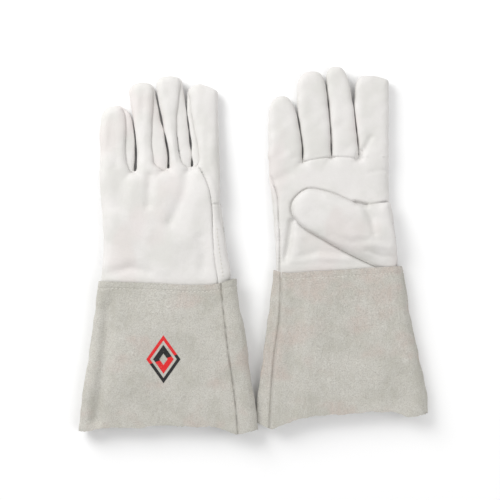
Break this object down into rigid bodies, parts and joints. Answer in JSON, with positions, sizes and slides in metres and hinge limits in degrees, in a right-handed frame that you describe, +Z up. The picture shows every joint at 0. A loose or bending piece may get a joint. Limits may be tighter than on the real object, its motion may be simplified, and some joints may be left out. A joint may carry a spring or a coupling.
{
  "type": "welding gloves",
  "caption": "Pair of white soft-leather welding gauntlets with grey split-leather cuffs, laid flat, one palm down and one palm up.",
  "frame": {"origin": "on the table, under the middle of the pair", "axes": "+Y towards the fingertips, +X towards the right-hand glove, +Z up off the table"},
  "size_m": [0.3462, 0.3669, 0.0237],
  "materials": {
    "goatskin": "satin",
    "suede": "matte",
    "thread": "matte",
    "print": "satin"
  },
  "bodies": {
    "left_hand": {"left_hand_back": "goatskin", "left_palm": "goatskin", "left_thumb_wing": "goatskin", "left_wing_stitching": "thread"},
    "left_thumb": {"left_thumb_outer": "goatskin", "left_thumb_inner": "goatskin"},
    "left_cuff": {"left_cuff_back": "suede", "left_cuff_palm": "suede", "left_cuff_stitching": "thread", "left_cuff_emblem": "print"},
    "left_little": {"left_little_back": "goatskin", "left_little_front": "goatskin", "left_little_fourchette": "goatskin"},
    "left_ring": {"left_ring_back": "goatskin", "left_ring_front": "goatskin", "left_ring_ulnar_fourchette": "goatskin", "left_ring_radial_fourchette": "goatskin"},
    "left_middle": {"left_middle_back": "goatskin", "left_middle_front": "goatskin", "left_middle_ulnar_fourchette": "goatskin", "left_middle_radial_fourchette": "goatskin"},
    "left_index": {"left_index_cover": "goatskin", "left_index_fourchette": "goatskin"},
    "right_hand": {"right_hand_back": "goatskin", "right_palm": "goatskin", "right_thumb_wing": "goatskin", "right_wing_stitching": "thread"},
    "right_thumb": {"right_thumb_outer": "goatskin", "right_thumb_inner": "goatskin"},
    "right_cuff": {"right_cuff_back": "suede", "right_cuff_palm": "suede", "right_cuff_stitching": "thread"},
    "right_little": {"right_little_back": "goatskin", "right_little_front": "goatskin", "right_little_fourchette": "goatskin"},
    "right_ring": {"right_ring_back": "goatskin", "right_ring_front": "goatskin", "right_ring_ulnar_fourchette": "goatskin", "right_ring_radial_fourchette": "goatskin"},
    "right_middle": {"right_middle_back": "goatskin", "right_middle_front": "goatskin", "right_middle_ulnar_fourchette": "goatskin", "right_middle_radial_fourchette": "goatskin"},
    "right_index": {"right_index_cover": "goatskin", "right_index_fourchette": "goatskin"}
  },
  "joints": [
    {"name": "left_little_knuckle", "type": "hinge", "parent": "left_hand", "child": "left_little", "pos_m": [-0.13576, 0.08829, 0.0213], "axis": [0.9993, 0.0384, 0], "range_deg": [0, 60]},
    {"name": "left_ring_knuckle", "type": "hinge", "parent": "left_hand", "child": "left_ring", "pos_m": [-0.10542, 0.09026, 0.0213], "axis": [0.9971, 0.0767, 0], "range_deg": [0, 60]},
    {"name": "left_middle_knuckle", "type": "hinge", "parent": "left_hand", "child": "left_middle", "pos_m": [-0.07613, 0.09275, 0.0213], "axis": [0.9956, 0.0941, 0], "range_deg": [0, 60]},
    {"name": "left_index_knuckle", "type": "hinge", "parent": "left_hand", "child": "left_index", "pos_m": [-0.0468, 0.09429, 0.0213], "axis": [0.9991, 0.0419, 0], "range_deg": [0, 60]},
    {"name": "left_cuff_fold", "type": "hinge", "parent": "left_hand", "child": "left_cuff", "pos_m": [-0.0854, -0.0325, 0.0235], "axis": [-1, 0, 0], "range_deg": [0, 50]},
    {"name": "left_thumb_fold", "type": "hinge", "parent": "left_hand", "child": "left_thumb", "pos_m": [-0.0322, 0.0173, 0.007], "axis": [0.0628, -0.998, 0], "range_deg": [0, 90]},
    {"name": "right_little_knuckle", "type": "hinge", "parent": "right_hand", "child": "right_little", "pos_m": [0.03256, 0.09929, 0.0164], "axis": [0.999, 0.0454, 0], "range_deg": [0, 75]},
    {"name": "right_ring_knuckle", "type": "hinge", "parent": "right_hand", "child": "right_ring", "pos_m": [0.06429, 0.10128, 0.0164], "axis": [0.9982, 0.0593, 0], "range_deg": [0, 75]},
    {"name": "right_middle_knuckle", "type": "hinge", "parent": "right_hand", "child": "right_middle", "pos_m": [0.09273, 0.10428, 0.0164], "axis": [0.9979, 0.0645, 0], "range_deg": [0, 75]},
    {"name": "right_index_knuckle", "type": "hinge", "parent": "right_hand", "child": "right_index", "pos_m": [0.12163, 0.1038, 0.0164], "axis": [0.9997, 0.0227, 0], "range_deg": [0, 75]},
    {"name": "right_cuff_fold", "type": "hinge", "parent": "right_hand", "child": "right_cuff", "pos_m": [0.0851, -0.0187, 0.0186], "axis": [-0.9995, -0.0317, 0], "range_deg": [0, 50]},
    {"name": "right_thumb_fold", "type": "hinge", "parent": "right_hand", "child": "right_thumb", "pos_m": [0.1372, 0.0193, 0.0167], "axis": [-0.0628, 0.998, 0], "range_deg": [0, 90]},
    {"name": "right_lift", "type": "slide", "parent": "left_hand", "child": "right_hand", "axis": [0, 0, 1], "range_m": [0, 0.1]}
  ]
}
